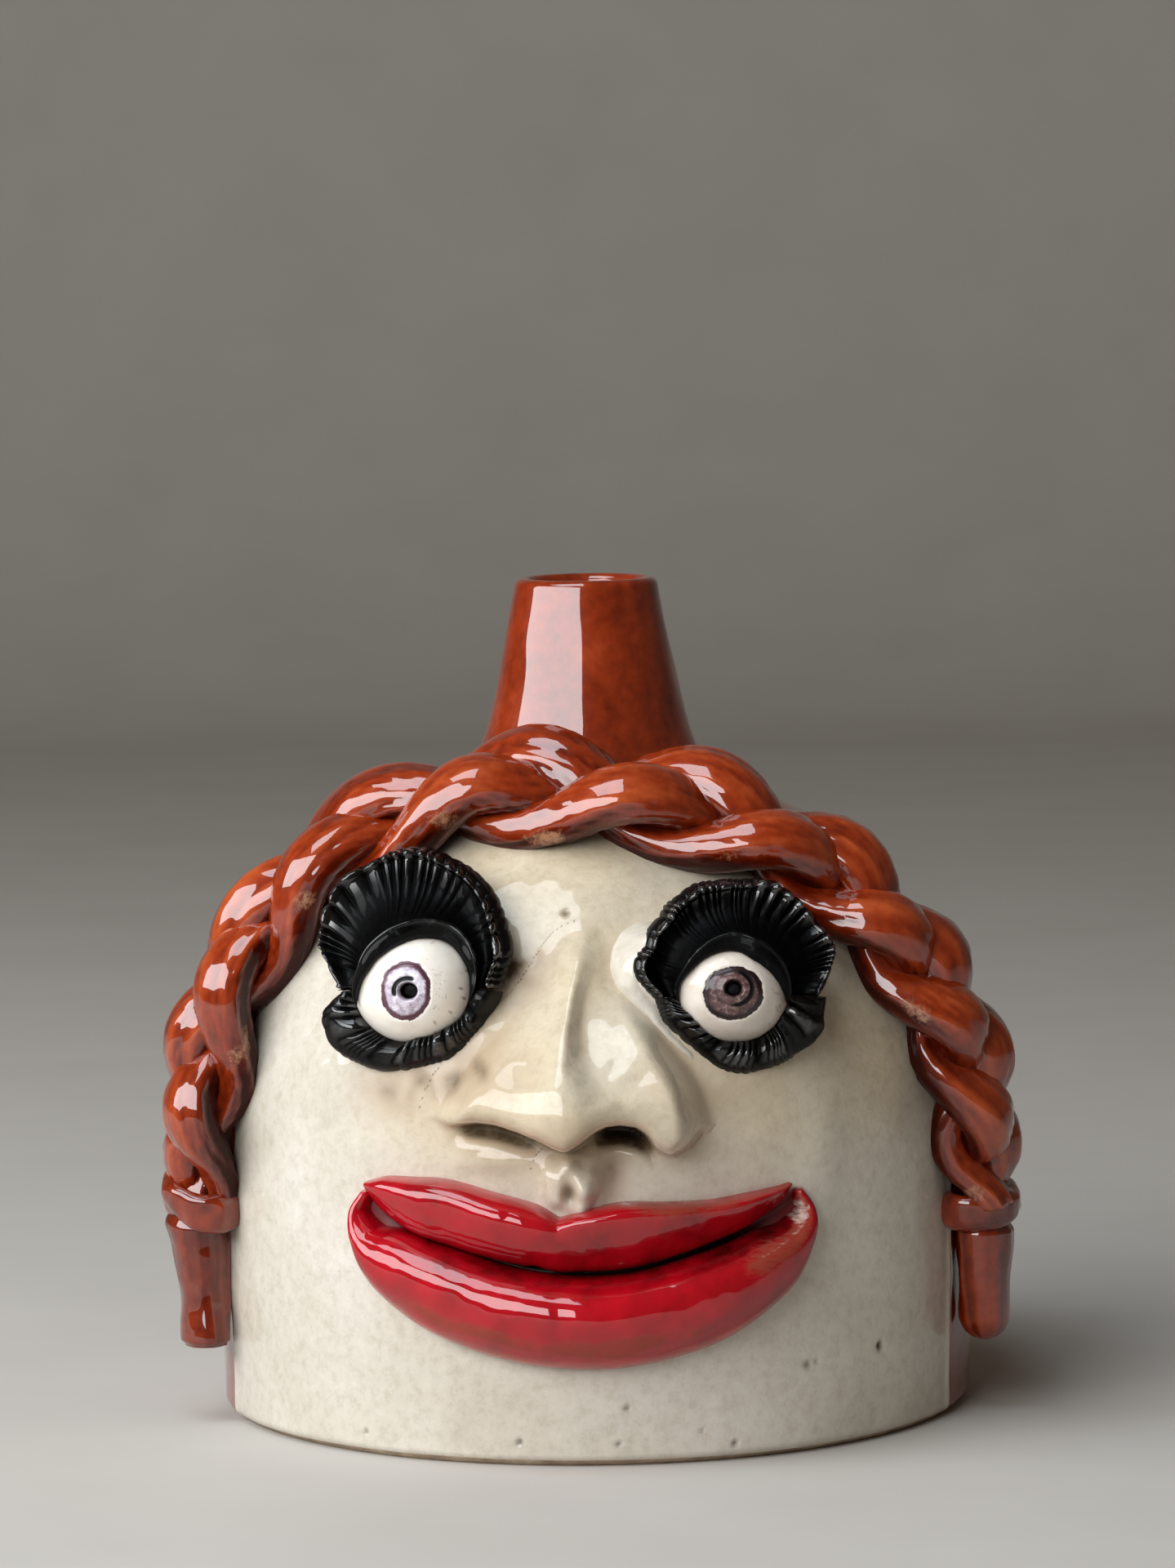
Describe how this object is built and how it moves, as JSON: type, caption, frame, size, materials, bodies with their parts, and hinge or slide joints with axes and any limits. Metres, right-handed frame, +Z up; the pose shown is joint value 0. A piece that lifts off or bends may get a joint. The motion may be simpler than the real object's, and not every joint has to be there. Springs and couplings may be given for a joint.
{
  "type": "face jug",
  "caption": "Hand-built glazed jug in the shape of a domed head, with a conical bottle neck, a modelled face in relief and a plait laid over the forehead from side to side.",
  "frame": {"origin": "centre of the flat foot, on the surface the jug stands on", "axes": "+Z up along the neck; the face looks along -Y; +X is the right-hand side of a viewer who faces it"},
  "size_m": [0.1714, 0.1709, 0.1679],
  "materials": {
    "raw_clay": "unglazed matt stoneware",
    "cream_glaze": "satin cream glaze with fine speckle",
    "terracotta_glaze": "high gloss red-brown glaze",
    "red_glaze": "high gloss crimson glaze",
    "black_glaze": "gloss black glaze",
    "eye_glaze": "gloss ivory glaze with a painted iris"
  },
  "bodies": {
    "root": {"base_slab": "raw_clay", "head_shell": "cream_glaze", "neck": "terracotta_glaze", "braid_strand_1": "terracotta_glaze", "braid_strand_2": "terracotta_glaze", "braid_strand_3": "terracotta_glaze", "left_braid_tie": "terracotta_glaze", "left_braid_tail": "terracotta_glaze", "right_braid_tie": "terracotta_glaze", "right_braid_tail": "terracotta_glaze", "left_eyeball": "eye_glaze", "left_eye_socket": "cream_glaze", "left_upper_lid": "black_glaze", "left_upper_lash": "black_glaze", "left_lower_lash": "black_glaze", "right_eyeball": "eye_glaze", "right_eye_socket": "cream_glaze", "right_upper_lid": "black_glaze", "right_upper_lash": "black_glaze", "right_lower_lash": "black_glaze", "nose": "cream_glaze", "philtrum_ridge": "cream_glaze", "upper_lip": "red_glaze", "lower_lip": "red_glaze"}
  },
  "joints": []
}
